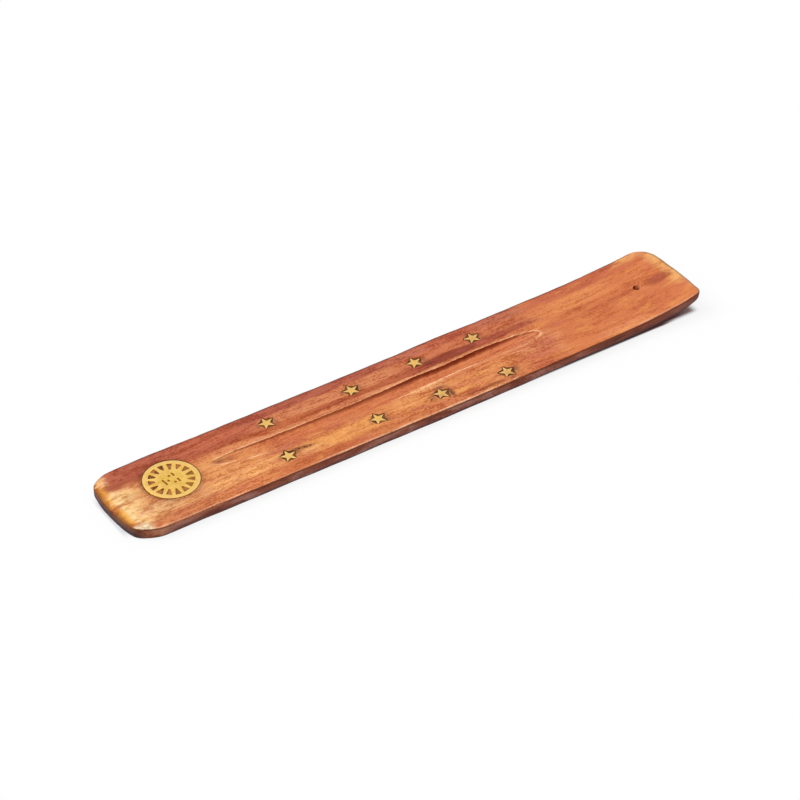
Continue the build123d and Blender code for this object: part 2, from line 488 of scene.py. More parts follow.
print("Groove width in its middle:", (hand_line(wall_edge, 20) - hand_line(gentle_edge, 20)).round(1))

# %% [markdown]
# ## The tray's skin
# A box cut up by booleans would give straight rows that cross the groove's wandering edge in steps. So
# the upper face is a grid whose rows follow that edge: a Coons patch, which fills four boundary lines
# with a grid, with its rows crowded at the groove. First come the four boundary lines. Sanding rounded
# the upper edge unevenly, use has nicked it, and a few long bows carry the outline off its true line.

# %% Sides of the outline
lap = len(outline) // 4
sides = {}
for number, side in enumerate(("near", "right", "far", "left")):
    run = (np.arange(lap + 1) + lap // 2 + number * lap) % (4 * lap)
    sides[side] = run if number < 2 else run[::-1]


def along(side, axis, share):
    """Places and normals on one side of the outline, spread by share of its x (0) or y (1)."""
    path, normal = outline[sides[side]], outline_normals[sides[side]]
    want = path[0, axis] + share * (path[-1, axis] - path[0, axis])
    place = np.stack([np.interp(want, path[:, axis], path[:, k]) for k in (0, 1)], 1)
    facing = np.stack([np.interp(want, path[:, axis], normal[:, k]) for k in (0, 1)], 1)
    return place, facing / np.linalg.norm(facing, axis=1, keepdims=True)


print("Points on each side:", lap + 1)

# %% [markdown]
# Each nick in the table has a place and a depth, and each bow a place, a length and how far it carries the
# outline outwards there.

# %% Edges worked by hand
nick_size = 2.0
nicks = [
    (-93, -19, 0.15), (-34, -19, 0.12), (21, -19, 0.12), (38.5, -19, 0.4), (74, -19, 0.15), (103, -19, 0.12),
    (-72, 19, 0.15), (-11, 19, 0.12), (44, 19, 0.15), (96, 19, 0.12), (126, 3, 0.15), (-126, -4, 0.2),
]
bows = [
    (0, 19, 140, 0.42), (-99, 19, 14, 0.35), (24, 19, 14, 0.5), (97, 19, 12, 0.3), (-127, -1, 6, 0.3),
    (-125.2, -15, 3.6, 0.85), (-125.6, 14.8, 2.2, 0.4), (-127, 10.5, 3.2, -0.45), (-120.5, 18.2, 4, -0.3),
    (127.5, 3, 11, -0.25), (124, 14, 6, -0.6), (126.8, -15, 6, -0.55),
]


def upper_round(place):
    """Radius of the upper edge: the CAD model's, uneven by a fifth, and larger at each nick."""
    radius = upper_edge_round * (1 + ripple(*place.T, [(31, 40), (17, 23), (7.3, 11)], 0.2, 3))
    for x, y, depth in nicks:
        radius = radius + depth * soft_spot(*place.T, x, y, nick_size, nick_size)
    return radius


def wander(place):
    """How far the outline strays outwards, in millimetres: a ripple and a few longer bows."""
    stray = ripple(*place.T, [(83, 61), (37, 29), (13, 17)], 0.05, 5)
    for x, y, long, rise in bows:
        stray = stray + rise * soft_spot(*place.T, x, y, long, long)
    return stray


def rim(place, normal):
    """The border of the upper face: the wandering outline, set in by the rounding of its edge."""
    return place + normal * (wander(place) - upper_round(place))[:, None]


print("Nicks:", len(nicks), "bows:", len(bows))

# %% [markdown]
# Each column of the grid runs across the tray. Its rows are spread between eight knots: the two borders
# and six places at the groove's edges, where more rows show a crisper bend.

# %% Rows that follow the groove
columns = 620
row_counts = (30, 6, 10, 5, 6, 5, 29)
rows = sum(row_counts)
least_spread = 1.6

station = np.linspace(0, 1, columns + 1)
near_place, near_normal = along("near", 0, station)
far_place, far_normal = along("far", 0, station)
near_rim, far_rim = rim(near_place, near_normal), rim(far_place, far_normal)

edge_x = np.linspace(outline[sides["near"][0], 0], outline[sides["near"][-1], 0], columns + 1)
crisp, gentle = arris(edge_x), hand_line(gentle_edge, edge_x)
middle = (crisp + gentle) / 2
spread = np.maximum((crisp - gentle) / 2, least_spread)
knots = np.stack((
    near_rim[:, 1], middle - spread - 0.4, middle - spread + 0.6, middle + spread - 1.2,
    middle + spread - 0.35, middle + spread, middle + spread + 0.7, far_rim[:, 1]), 1)
row_y = [knots[:, :1]]
for k, count in enumerate(row_counts):
    share = np.arange(1, count + 1) / count
    row_y.append(knots[:, k:k + 1] * (1 - share) + knots[:, k + 1:k + 2] * share)
row_y = np.concatenate(row_y, 1)
across = (row_y - row_y[:, :1]) / (row_y[:, -1:] - row_y[:, :1])
print("Rows across:", rows, "columns along:", columns)

# %% Coons patch
end_fade = 16

left_place, left_normal = along("left", 1, across[0])
right_place, right_normal = along("right", 1, across[-1])
left_rim, right_rim = rim(left_place, left_normal), rim(right_place, right_normal)
left_rim[0], left_rim[-1] = near_rim[0], far_rim[0]
right_rim[0], right_rim[-1] = near_rim[-1], far_rim[-1]

share = across[:, :, None]
patch = near_rim[:, None] * (1 - share) + far_rim[:, None] * share
for end_rim, end in ((left_rim, 0), (right_rim, -1)):
    off = end_rim - patch[end]
    fade = np.clip(1 - np.abs(edge_x - edge_x[end]) / end_fade, 0, 1) ** 2
    patch = patch + fade[:, None, None] * off[None]


def hand_planed(x, y):
    """Unevenness of a face that was planed and sanded by hand, in millimetres."""
    return ripple(x, y, [(61, 33), (29, 14), (17, 9)], 0.07, 11)


flat_x, flat_y = patch[..., 0], patch[..., 1]
depth, floor_share = groove(edge_x[:, None] + 0 * flat_x, flat_y)
top = np.stack((flat_x, flat_y, upper_face(flat_x) + hand_planed(flat_x, flat_y) - depth), -1)
print("Upper grid:", top.shape[:2], "deepest cut:", round(float(depth.max()), 2))

# %% [markdown]
# The loop round the outline runs along the near side, up the raised end, back along the far side and down
# the sun end. Each ring of the edge profile is that loop, moved inwards by an inset and set at a height:
# the rounded upper edge, the side with its saw marks, and the rounded lower edge, which is worn away most at
# the raised end's near corner.

# %% Loop round the outline
def numbered(first, shape):
    """A grid of point numbers, counted from the first one."""
    return first + np.arange(np.prod(shape)).reshape(shape)


def around(near, right, far, left):
    """Four sides joined to one loop that holds each corner once."""
    return np.concatenate((near, right[1:-1], far[::-1], left[-2:0:-1]))


grid = numbered(0, (columns + 1, rows + 1))
loop = around(grid[:, 0], grid[-1], grid[:, -1], grid[0])
loop_place = around(near_place, right_place, far_place, left_place)
loop_normal = around(near_normal, right_normal, far_normal, left_normal)
stray = wander(loop_place)
saw = ripple(*loop_place.T, [(23, 31), (9, 7)], 0.05, 9)
round_up = upper_round(loop_place)
round_low = lower_edge_round * (1 + ripple(*loop_place.T, [(41, 37), (19, 13)], 0.12, 7))
worn_below = [(half_length, -half_width, 11, 5, 1.1), (half_length, -half_width, 4.5, 5, 1.2),
              (-half_length, 0, 8, 14, -0.6)]
for *spot, extra in worn_below:
    round_low = round_low + extra * soft_spot(*loop_place.T, *spot)
print("Loop:", len(loop), "points, lower rounding up to", round_low.max().round(1))

# %% [markdown]
# Two numbers go with each ring for the finish: how far down it lies, from 0 at the upper edge to 1 at the
# lower one, and how much of the rim's mark it takes: wear and painted highlight on the near side, painted
# shade on the far side. A coarse grid then closes the underside.

# %% Edge, side and underside
def ring(inset, drop=None, rise=None):
    """The loop, inset from the outline, that much below the upper face or above the lower one."""
    flat = loop_place + loop_normal * (stray - inset)[:, None]
    if rise is None:
        z = upper_face(flat[:, 0]) + hand_planed(*flat.T) - drop
    else:
        z = underside(flat[:, 0]) + rise
    return np.concatenate((flat, z[:, None]), 1)


rings, ring_fall, ring_rim = [], [], []
for turn in np.linspace(0, pi / 2, 6)[1:]:
    rings.append(ring(round_up * (1 - sin(turn)), drop=round_up * (1 - cos(turn))))
    ring_fall.append(0.12 * turn)
    ring_rim.append(sin(2 * turn) ** 0.5 if turn < 1.5 else 0.2)
upper_ring = rings[-1]
lower_ring = ring(0 * round_low, rise=round_low)
for share in (0.12, 0.3, 0.5, 0.7, 0.88):
    between = upper_ring * (1 - share) + lower_ring * share
    between[:, :2] += loop_normal * (saw * sin(pi * share))[:, None]
    rings.append(between)
    ring_fall.append(0.2 + 0.6 * share)
    ring_rim.append(0.0)
for turn in np.linspace(0, pi / 2, 6):
    rings.append(ring(round_low * (1 - cos(turn)), rise=round_low * (1 - sin(turn))))
    ring_fall.append(0.8 + 0.2 * turn / (pi / 2))
    ring_rim.append(0.0)
rings = np.array(rings)

under_rows = 9
near_run = slice(0, columns + 1)
far_run = slice(columns + rows, 2 * columns + rows + 1)
share = np.arange(1, under_rows)[None, :, None] / under_rows
under = rings[-1][near_run, None] * (1 - share) + rings[-1][far_run][::-1, None] * share
under[..., 2] = underside(under[..., 0])
print("Rings:", len(rings), "of", len(loop), "points")

# %% Faces of the skin
def quads(index):
    """Faces between the rows and columns of an index grid, facing up when both run with x and y."""
    return np.stack((index[:-1, :-1], index[1:, :-1], index[1:, 1:], index[:-1, 1:]), -1).reshape(-1, 4)


def stitch(fine, coarse):
    """Triangles between a fine and a coarse line that share both ends, by nearest share of length."""
    pick = np.round(np.arange(len(fine)) / (len(fine) - 1) * (len(coarse) - 1)).astype(int)
    fan = np.stack((fine[:-1], fine[1:], coarse[pick[:-1]]), 1)
    jump = np.flatnonzero(pick[1:] > pick[:-1])
    filled = np.stack((fine[jump + 1], coarse[pick[jump + 1]], coarse[pick[jump]]), 1)
    both = np.concatenate((fan, filled))
    distinct = (both[:, 0] != both[:, 1]) & (both[:, 1] != both[:, 2]) & (both[:, 0] != both[:, 2])
    return both[distinct]


ring_index = numbered(grid.size, rings.shape[:2])
bands = np.concatenate((loop[None], ring_index))
bands = np.concatenate((bands, bands[:, :1]), 1)
foot = ring_index[-1]
under_index = numbered(grid.size + ring_index.size, under.shape[:2])
under_grid = np.concatenate((foot[near_run, None], under_index, foot[far_run][::-1, None]), 1)
end_right = foot[columns:columns + rows + 1]
end_left = np.concatenate((foot[2 * columns + rows:], foot[:1]))
faces = [quads(grid), quads(bands), quads(under_grid)[:, ::-1]]
triangles = [stitch(end_right, under_grid[-1]), stitch(end_left, under_grid[0][::-1])]
triangles = [part[:, ::-1] for part in triangles]
places = np.concatenate([part.reshape(-1, 3) for part in (top, rings, under)])
print("Tray skin:", len(places), "points,", sum(map(len, faces)), "quads")

# %% [markdown]
# ## Marks that the finish needs
# The stain, the wear and some painted light follow the shape: pale where an edge was rubbed and where a
# painted highlight lies, painted shade against the groove's wall, smudged round the stars. We store these
# as numbers on the points, which a material reads back as attributes. The groove comes first: a pale lip
# along its edges, partly wear and partly painted highlight, stronger in some stretches, round its tip and
# at one slip of the cutter, and a dark painted shade below its wall.

# %% Lip and shade of the groove
def by_station(knots):
    """A given line's value in each column of the upper grid."""
    return hand_line(knots, edge_x)[:, None]


def bell(distance, width):
    """A bell-shaped fall-off, 1 where the distance is 0."""
    return np.exp(-(distance / width) ** 2)


deep = by_station(groove_depth)
above = flat_y - crisp[:, None]
beside = flat_y - gentle[:, None]
lip_strength = by_station([(-84, 0.85), (-68, 0.75), (-60, 0.2), (-8, 0.2), (0, 0.95), (30, 0.95), (35, 0.25),
                           (46, 0.3), (54, 0.6), (62, 0.8)])
broken = np.clip(0.8 + ripple(edge_x, 0 * edge_x, [(11, 9), (5.3, 9), (3.1, 9)], 0.5, 33), 0.3, 1)[:, None]
tip_x, tip_y, tip_long, tip_wide = 55.5, -0.45, 6.3, 3.1
tip_ring = np.hypot((flat_x - tip_x) / tip_long, (flat_y - tip_y) / tip_wide)
slip_x, slip_y, slip_slope = 49, -6.2, 0.35
slip_line = slip_y - slip_slope * (flat_x - slip_x)
# The pale lip is partly wear and partly a painted highlight along the groove's edges.
lip = np.where(above > -0.02, bell(above - 0.15, 0.36), 0) * np.clip(deep * 3, 0, 1) * broken
lip = np.maximum(lip, bell(beside - 0.05, 0.4) * np.clip(deep * 4, 0, 1) * lip_strength)
lip = np.maximum(lip, soft_spot(flat_x, flat_y, slip_x, slip_line, 3.0, 0.6) * 0.8)
lip = np.maximum(lip, bell((tip_ring - 1) * 12, 1) * smooth(flat_x, 52, 57) * 0.8)

# Painted shade: a darkening painted on the groove's steep wall, below its crisp edge.
shade_width = by_station([(-84, 0.9), (-40, 1.1), (-10, 1.4), (5, 1.7), (46, 1.6), (60, 0.9)])
shade_strength = by_station([(-84, 0.1), (-65, 0.35), (-46, 0.5), (-30, 0.65), (-16, 0.65), (-3, 0.8),
                             (6, 0.95), (46, 0.92), (53, 0.7), (62, 0.2)])
shade = np.where(above < 0, 1 - smooth(-above, 0.2, shade_width), 0) * shade_strength
print("Lip and shade, mean:", lip.mean().round(3), shade.mean().round(3))

# %% [markdown]
# Glue and dirt gathered round the stars. Each row of the table is one dark spot: its place, its length and
# width and how heavy it is. The first row lies at the groove's start and is painted shade, the others are
# smudges beside the stars. The sun has a ring of painted shade, heavier on one side, and a torn splinter
# trails away from the first star on the right.

# %% Smudges and painted shade
smudge_and_shade_spots = [
    # Painted shade at the groove's start.
    (-80.6, 2.0, 2.8, 0.9, 0.75), (-76.0, 1.3, 2.6, 0.8, 0.35),
    # Smudges beside the stars.
    (12.9, -10.4, 1.0, 2.0, 1.1), (12.6, -12.9, 1.0, 1.2, 1.0), (4.8, -10.8, 1.6, 1.8, 0.6),
    (10.3, -7.0, 2.4, 1.1, 0.9), (41.0, -13.6, 1.5, 1.8, 0.7), (37.5, -17.2, 1.5, 0.9, 0.5),
    (33.1, -12.9, 0.9, 1.2, 0.4), (-54.0, -9.5, 1.5, 1.6, 0.6), (-58.0, -6.2, 2.2, 0.7, 0.4),
    (-61.8, -10.0, 0.9, 1.3, 0.4), (-15.8, -12.1, 1.5, 1.0, 0.7), (-15.0, -9.0, 1.0, 1.5, 0.45),
    (-22.3, -10.0, 0.9, 1.3, 0.4), (14.4, 8.7, 1.7, 1.2, 0.6), (15.2, 11.0, 0.9, 1.3, 0.5),
    (41.6, 11.5, 0.9, 1.3, 0.45), (41.2, 8.9, 1.7, 1.0, 0.5), (-51.5, 9.6, 1.1, 1.7, 0.5),
    (-58.6, 11.0, 0.9, 1.3, 0.45), (-14.4, 10.8, 1.0, 1.6, 0.6), (-22.1, 10.5, 1.0, 1.1, 0.5),
]
smudge = np.zeros_like(flat_x)
for *spot, heavy in smudge_and_shade_spots:
    smudge = smudge + soft_spot(flat_x, flat_y, *spot) * heavy
from_sun = np.hypot(flat_x - sun_x, flat_y - sun_y)
lower_left = 0.55 - 0.45 * ((flat_x - sun_x) + (flat_y - sun_y)) / np.maximum(from_sun, 1) / 1.4
sun_shade_radius, sun_shade_width = 11.3, 0.9
# Painted shade: a dark ring round the sun, heavier towards its lower left.
smudge = smudge + bell(from_sun - sun_shade_radius, sun_shade_width) * lower_left * 0.8
trail_x, trail_y, trail_slope = -51.2, -8.3, 0.15
trail_line = trail_y - (flat_x - trail_x) * trail_slope
smudge = smudge + soft_spot(flat_x, flat_y, trail_x, trail_line, 4.4, 0.8) * 1.3
print("Smudges:", len(smudge_and_shade_spots))

# %% [markdown]
# The last marks follow the rim. On the near edge the pale rim is partly wear and partly painted highlight,
# stronger in its middle than towards the sun; on the far edge it is painted shade. The sun end is rolled off
# by wear. One helper joins the numbers of the upper face, of the rings and of the underside in the order of
# the points.

# %% Rims, roll and the list of marks
rim_width, roll_run, worn_zone = 0.45, 5.5, 5
near_rim_wear_and_light = [
    (-119, 0.85), (-95, 0.85), (-82, 0.75), (-72, 0.55), (-65, 0.3), (-52, 0.3), (-44, 0.85), (-30, 0.95),
    (-15, 1.05), (0, 1.1), (20, 0.95), (39, 0.9),
]


def rim_wear_and_light(x, y):
    """How strong the rim's mark of wear and painted light is: a given line on the near side and all of it
    elsewhere.
    """
    return np.where(y < 0, hand_line(near_rim_wear_and_light, x), 1)


def on_skin(upper, edge=0.0, lower=0.0):
    """One number for each point of the skin: on the upper face, on the rings and on the underside."""
    parts = ((upper, top), (edge, rings), (lower, under))
    return np.concatenate([np.broadcast_to(value, part.shape[:2]).ravel() for value, part in parts])


end_gap = np.minimum(flat_x - left_rim[None, :, 0], right_rim[None, :, 0] - flat_x)
rim_line = bell(np.minimum(flat_y - near_rim[:, 1:], far_rim[:, 1:] - flat_y), rim_width)
rim_line = np.maximum(rim_line, bell(end_gap, rim_width)) * 0.9 * rim_wear_and_light(flat_x, flat_y)
roll = np.clip(1 - (flat_x - left_rim[None, :, 0]) / roll_run, 0, 1)
marks = {
    "rim": on_skin(rim_line, np.outer(ring_rim, rim_wear_and_light(*loop_place.T))),
    "fall": on_skin(0.0, np.array(ring_fall)[:, None], 0.5),
    "lip": on_skin(lip),
    "shade": on_skin(shade),
    "scoop": on_skin(floor_share * np.clip(deep, 0, 1)),
    "smudge": on_skin(np.clip(smudge, 0, 1)),
    "roll": on_skin(roll, (loop_place[:, 0] < worn_zone - half_length) * 1.0),
}
print("Marks:", {name: round(float(values.max()), 2) for name, values in marks.items()})

# %% [markdown]
# ## Stained hardwood
# The strip is an open-grained hardwood under a brown stain and wax. Stain sinks deeper into some bands of
# the grain, so the far half is a dark red-brown and the near half a light tan, and handling has rubbed the
# edges pale. The grain is noise stretched along X, and a slow drift bends it sideways. Noise taken less a
# half swings about 0, which suits sums.

# %% Wood grain
wood, shader, place = new_material("stained_hardwood")
x, y = place.axis("X"), place.axis("Y")

drift = place.speckle(90, 16, 1, shift=91.0) - 0.5
bent = place.vector("ADD", place.node("CombineXYZ", inputs={1: drift * (10 * MM)}))
broad = bent.speckle(70, 6, 3)
tone = bent.speckle(34, 4.5, 4, 0.6, shift=71.0) - 0.5
cloud = bent.speckle(13, 5.0, 3, 0.55, shift=97.0)
hue = bent.speckle(11, 2.6, 3, 0.6, shift=83.0)
ragged = bent.speckle(14, 1.6, 3, 0.6, shift=5.0) - 0.5
figure = bent.speckle(24, 1.3, 3, 0.6, shift=51.0)
fibre = bent.speckle(9, 0.6, 3, 0.65, shift=11.0) - 0.5
hair = bent.speckle(5, 0.20, 2, 0.6, shift=17.0) - 0.5
mottle = place.speckle(3.5, 1.8, 3, 0.6, shift=23.0)
grit = place.speckle(0.9, 0.7, 2, 0.6, shift=61.0) - 0.5
pore = place.speckle(2.4, 0.30, 1, 0.5, shift=31.0).step(0.58, 0.70)
mottling = mottle - 0.5
clouding = cloud - 0.5
print("Wood grain nodes:", len(wood.node_tree.nodes))

# %% [markdown]
# The broad bands are a table of soft-edged boxes on the plan. Each row is one band: its reach along the tray
# and the softness of that, its reach across and the softness of that, its colour and its strength. All are
# stain but one pale patch beside the groove's gentle edge, which is a painted highlight. Later rows lie over
# earlier ones.
# Coordinates that noise has bent turn straight borders into ragged ones.

# %% Bands of stain and one painted highlight
red_brown, dark_red, plum = (181, 92, 67), (182, 91, 53), (143, 60, 38)
tan_wood, light_tan = (213, 131, 86), (246, 174, 108)
orange, rust, ochre, cream = (212, 120, 72), (202, 108, 68), (236, 170, 104), (248, 198, 134)

stain_and_light_bands = [
    (-140, -60, 8, 8.5, 25, 1.2, red_brown, 0.95),
    (-90, -60, 8, 11, 17, 1.5, (200, 106, 72), 0.8),
    (-119, -64, 6, 7.6, 10.2, 0.8, dark_red, 0.75),
    (-140, -60, 8, -13, 6, 2.0, (230, 152, 92), 0.85),
    (-120, -62, 7, -12.5, -7.5, 1.2, light_tan, 0.85),
    (-113, -60, 7, -25, -14, 1.0, (224, 135, 82), 0.8),
    (-64, 4, 6, 14.2, 25, 0.9, (178, 91, 68), 0.95),
    (-52, 4, 7, 9.3, 14.0, 0.9, tan_wood, 0.9),
    (-66, 2, 8, 5.9, 9.0, 0.7, (192, 100, 58), 0.9),
    (-36, 4, 6, 6.2, 8.8, 0.6, (182, 93, 54), 0.8),
    (-66, 2, 6, 3.6, 5.8, 0.5, (220, 137, 92), 0.85),
    (-62, 46, 8, -15, -5, 1.5, (218, 132, 78), 0.9),
    (-52, -18, 6, -13.5, -6.5, 1.2, (242, 166, 94), 0.7),
    (-14, 4, 5, -13, -5, 1.5, (238, 160, 94), 0.6),
    (-66, -28, 6, -25, -14, 0.8, (198, 104, 58), 0.85),
    (-28, 46, 8, -25, -15, 0.8, (208, 120, 70), 0.8),
    (2, 64, 5, 13.8, 25, 0.8, (190, 106, 78), 0.95),
    (20, 46, 5, 14, 25, 1.0, (193, 98, 67), 0.7),
    (2, 64, 6, 9.8, 13.4, 0.8, (202, 112, 72), 0.9),
    (2, 62, 6, 5.6, 9.4, 0.7, (172, 80, 54), 0.95),
    (13, 36, 4, 5.6, 9.4, 0.6, plum, 0.9),
    (16, 34, 3, -16.8, -15.4, 0.35, (140, 66, 34), 0.9),
    (45, 64, 4, -25, -9.5, 1.5, (206, 112, 70), 0.85),
    (61.5, 67, 2.0, -14, -1, 2.0, (232, 152, 100), 0.45),
    # Painted highlight beside the groove's gentle edge.
    (-1, 14, 3, -5.2, -3.0, 0.7, (250, 186, 122), 0.6),
    (66, 140, 3, -25, 25, 2.0, orange, 0.95),
    (66, 140, 5, -25, -11, 2.0, (218, 126, 76), 0.7),
    (66, 140, 5, 12, 25, 1.5, rust, 0.8),
    (68, 100, 6, 4.5, 12, 2.0, (228, 142, 86), 0.85),
    (96, 120, 5, -15, -4, 2.5, (206, 112, 70), 0.7),
    (82, 104, 5, -25, -14.5, 1.0, (232, 148, 98), 0.7),
    (66, 112, 5, 13.5, 25, 1.0, (200, 106, 72), 0.6),
]
grain_x = x + ragged * 14 + mottling * 6
grain_y = y + (broad - 0.5) * 3.2 + ragged * 2.6 + fibre


def banded(colour, table):
    """A colour with each row of a table laid over it as a soft-edged box on the bent plan."""
    for x0, x1, soft_x, y0, y1, soft_y, tint, strength in table:
        here = grain_x.band(x0, x1, soft_x) * grain_y.band(y0, y1, soft_y)
        colour = colour.coats((tint, here * strength))
    return colour


surface = place.plain(paint(*orange)).coats((tan_wood, broad.step(0.35, 0.65)))
surface = banded(surface, stain_and_light_bands)
print("Bands of stain:", len(stain_and_light_bands))

# %% [markdown]
# Both ends are worn. At the sun end the stain has faded to cream, and where the end rolls off it turns ochre
# and then brown; a painted highlight runs along the roll and another lies on the near corner. The raised end
# has an ochre brim and a dark knot behind the hole.

# %% The two ends
end_x = x + mottling * 3 + fibre * 4
end_y = y + mottling * 2
brim_x = x + mottling * 3 + fibre * 3
sun_end = 1 - x.step(-121, -117)
rolled = (place.mark("roll") + mottling * 0.4 + clouding * 0.4) * sun_end
knot = ((end_x - 118.2) * 0.18) ** 2 + ((end_y + 0.9) * 0.42) ** 2
surface = surface.coats(
    (cream, (1 - end_x.step(-121, -107)) * grain_y.band(-15, 7.5, 2.0) * 0.9),
    ((166, 80, 50), (1 - end_x.step(-119, -115)) * end_y.band(8.0, 10, 0.7) * 0.75),
    ((238, 178, 118), (1 - end_x.step(-123.5, -119)) * end_y.band(11, 17, 1.4) * 0.9),
    # Painted highlight: a cream line along the rolled sun end.
    ((255, 222, 164), rolled.band(0.22, 0.5, 0.2) * end_y.band(-17, 8, 2.0) * 0.6),
    ((236, 158, 60), rolled.step(0.28, 0.85) * end_y.band(-13, 20, 1.5) * 0.95),
    ((126, 68, 22), rolled.step(0.66, 1.1) * end_y.band(-14, 20, 1.5) * 0.9),
    # Painted highlight on the sun end's near corner.
    ((255, 240, 202), end_x.band(-127, -119, 2.5) * end_y.band(-18.5, -13.2, 1.2) * 0.95),
    (ochre, brim_x.step(119.8, 124.5) * end_y.band(-8, 15, 3.0) * 0.95),
    ((164, 79, 48), (1 - knot.step(0.0, 1.9)) * figure.step(0.15, 0.45) * 0.95),
)
print("Wood nodes after the ends:", len(wood.node_tree.nodes))

# %% [markdown]
# A second table of the same kind adds the narrow streaks that lie over the faded ends and over borders
# between the broad bands. Its last row, a pale patch at the raised end's far corner, is a painted highlight.

# %% Late streaks
late_streaks = [
    (-121, -112, 2.5, 1.4, 3.0, 0.6, (206, 138, 84), 0.6),
    (-119, -109, 3.0, -6.2, -4.8, 0.7, (206, 132, 80), 0.5),
    (-124, -104, 2.0, 8.8, 11.2, 0.8, (152, 72, 46), 0.55),
    (-124.5, -121.5, 1.2, 12.2, 16.8, 1.2, (255, 196, 150), 0.6),
    (-82, -73, 3.0, 0.2, 2.8, 0.8, (194, 110, 66), 0.6),
    (-119, -103, 4.0, -11.5, -5.8, 1.5, (255, 204, 144), 0.75),
    (-125, -118, 2.0, 0.0, 6.0, 1.5, (255, 214, 150), 0.5),
    (-56, -46, 3.0, -12.6, -10.2, 0.8, (246, 182, 124), 0.6),
    (50, 63, 4.0, -13.0, -4.5, 1.5, (204, 114, 84), 0.5),
    (-66, -28, 6.0, -5.6, -4.0, 0.5, (196, 100, 72), 0.65),
    (50, 60, 3.0, -2.0, 1.6, 0.8, (196, 108, 84), 0.6),
    (84, 106, 3.0, -0.9, 0.9, 0.7, (194, 102, 64), 0.6),
    (84, 99, 3.0, 12.4, 14.8, 0.8, (188, 94, 60), 0.6),
    # Painted highlight on the raised end's far corner.
    (112, 124, 3.0, 15.6, 20.0, 1.0, (240, 176, 112), 0.7),
]
surface = banded(surface, late_streaks)
print("Late streaks:", len(late_streaks))

# %% [markdown]
# Next come the marks stored on the points: the scooped floor, smudges and painted shade, the painted shade
# under the groove's wall, its pale lip, partly painted highlight, and the rim. The rim is pale on the near
# side from wear and painted highlight, dark on the far side as painted shade, and grey-brown at the raised
# end.

# %% Wear and painted light over the stain
raised = x.step(56, 70)
near_side = 1 - y.step(-2, 2)
light_part = 1 - y.band(5, 19.5, 0.6) * (1 - raised)
rim_wear_and_shading = place.mark("rim") * place.speckle(7, 7, 3, shift=41.0).step(0.2, 0.5)
pale_run = x.band(-119, 39, 2) + x.step(92, 98) * 0.5
surface = surface.coats(
    ((240, 164, 86), hue.step(0.52, 0.72) * light_part * 0.42),
    ((196, 98, 80), (1 - hue.step(0.30, 0.46)) * 0.42),
    ((206, 112, 68), place.mark("scoop") * 0.6),
    # Smudges beside the stars, and painted shade at the groove's start and round the sun.
    ((98, 52, 36), place.mark("smudge") * mottle.step(0.15, 0.5) * 0.9),
    # Painted shade below the groove's wall, then its pale lip, partly a painted highlight.
    ((146, 52, 8), place.mark("shade") * (0.9 + fibre * 1.2).limited()),
    ((255, 190, 142), place.mark("lip") * figure.step(0.2, 0.48) * 0.9),
    # Near rim: wear and painted highlight. Far rim: painted shade. Raised end: a grey-brown rim.
    ((252, 188, 148), rim_wear_and_shading * near_side * pale_run * 0.95),
    ((92, 50, 50), rim_wear_and_shading * (1 - near_side) * x.band(-116, 116, 4) * 0.9),
    ((124, 104, 74), rim_wear_and_shading * x.step(122, 124) * 0.8),
)
print("Wood nodes after the wear:", len(wood.node_tree.nodes))

# %% [markdown]
# The side took more stain than the face. The mark "fall" counts from 0 at the upper edge to 1 at the lower
# one, so each coat starts at its own height: brown at the top, then red-brown, and darkest at the foot, where
# the dark is painted shade for the contact shadow. The sun end's face is painted darker as painted shade,
# and so is the lifted foot of the raised end.

# %% Stain and painted shade on the side
fall = place.mark("fall")
side_part = fall.band(0.22, 0.82, 0.08)
near_sun = near_side * x.band(-113, -90, 5)
at_end = 1 - x.step(-126, -121.5)
surface = surface.coats(
    ((118, 54, 28), fall.step(0.03, 0.11) * 0.95),
    ((150, 80, 58), fall.step(0.20, 0.36) * 0.95),
    ((126, 76, 70), fall.step(0.50, 0.78) * 0.85),
    # Painted shade: the foot of the side, darkest where it meets the floor.
    ((78, 43, 40), fall.step(0.68, 0.88) * 0.9),
    ((182, 126, 112), side_part * cloud.step(0.5, 0.64) * 0.55),
    ((96, 44, 36), side_part * (1 - cloud.step(0.36, 0.48)) * 0.5),
    ((124, 60, 46), side_part * x.step(100, 112) * 0.6),
    ((192, 124, 90), side_part * x.band(-122, -114, 3) * near_side * 0.65),
    ((186, 112, 78), fall.band(0.0, 0.26, 0.1) * near_sun * 0.75),
    ((112, 64, 50), fall.step(0.42, 0.7) * near_sun * 0.75),
    # Painted shade: the sun end's face, darker towards its foot.
    ((122, 68, 32), fall.step(0.02, 0.12) * at_end * 0.9),
    ((92, 56, 46), fall.step(0.15, 0.36) * at_end * 0.9),
    ((54, 36, 40), fall.step(0.42, 0.72) * at_end * 0.9),
    # Painted shade: near-black on the lifted lower edge of the raised end.
    ((40, 16, 14), fall.step(0.72, 0.92) * x.band(52, 120, 8) * 0.9),
)
print("Wood nodes after the side:", len(wood.node_tree.nodes))

# %% [markdown]
# Fine grain darkens and lightens whatever lies below it. How lively it is changes along the tray: calm at
# the raised end and in the faded part, cloudy near the sun and over the middle. The same noises give the
# roughness and a shallow relief.

